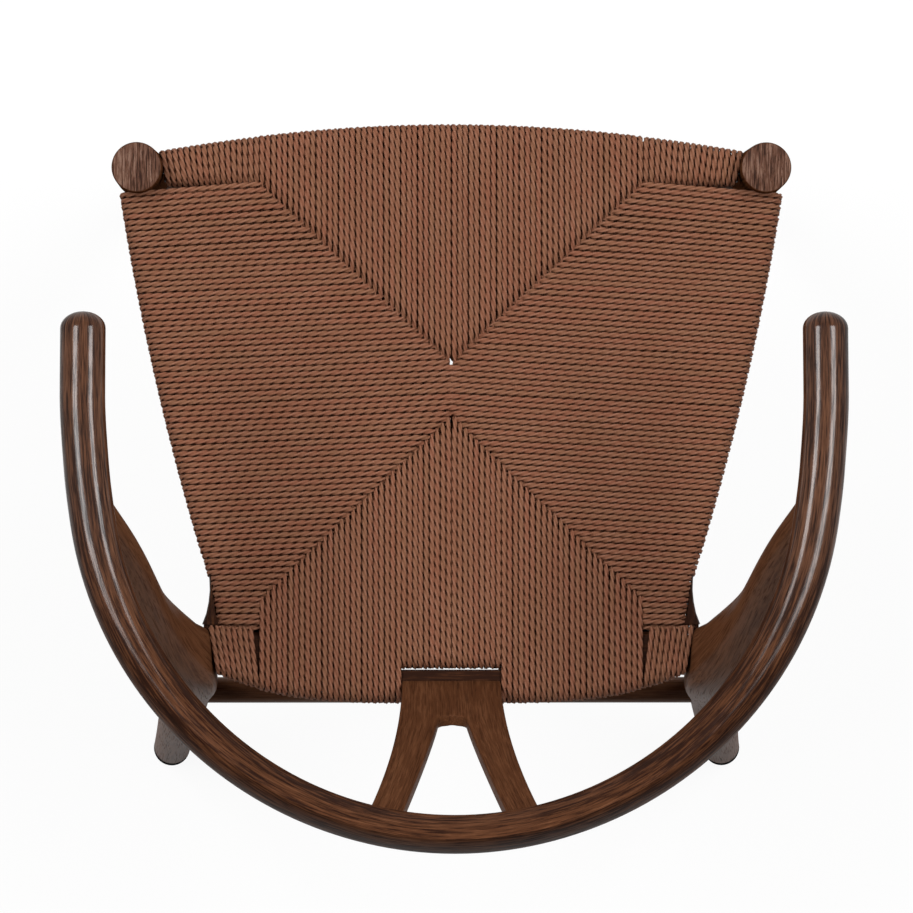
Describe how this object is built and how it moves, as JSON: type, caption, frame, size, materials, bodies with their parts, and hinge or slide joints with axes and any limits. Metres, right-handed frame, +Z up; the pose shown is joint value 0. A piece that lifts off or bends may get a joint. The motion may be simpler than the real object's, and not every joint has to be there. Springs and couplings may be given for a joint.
{
  "type": "wishbone chair",
  "caption": "Armchair in dark stained wood with a bent arm bow, a forked back splat, swept back legs and a woven paper cord seat.",
  "frame": {"origin": "middle of the footprint, on the floor", "axes": "+Z up, the chair faces -Y, the sitter's left is +X"},
  "size_m": [0.55, 0.5195, 0.7595],
  "materials": {
    "wood": "dark brown stain with open grain and a satin coat",
    "cord": "twisted red-brown paper cord, matt",
    "glide": "black, matt"
  },
  "bodies": {
    "root": {"arm_bow": "wood", "y_splat": "wood", "front_leg_left": "wood", "front_leg_right": "wood", "back_leg_left": "wood", "back_leg_right": "wood", "front_seat_rail": "wood", "back_seat_rail": "wood", "left_seat_rail": "wood", "right_seat_rail": "wood", "front_stretcher": "wood", "back_stretcher": "wood", "seat_weave_front": "cord", "seat_weave_left": "cord", "seat_weave_right": "cord", "seat_weave_left_rear": "cord", "seat_weave_right_rear": "cord", "seat_weave_back_left": "cord", "seat_weave_back_middle": "cord", "seat_weave_back_right": "cord", "front_left_winding": "cord", "front_right_winding": "cord", "back_left_winding": "cord", "back_right_winding": "cord", "glide_front_left": "glide", "glide_front_right": "glide", "glide_back_left": "glide", "glide_back_right": "glide"}
  },
  "joints": []
}
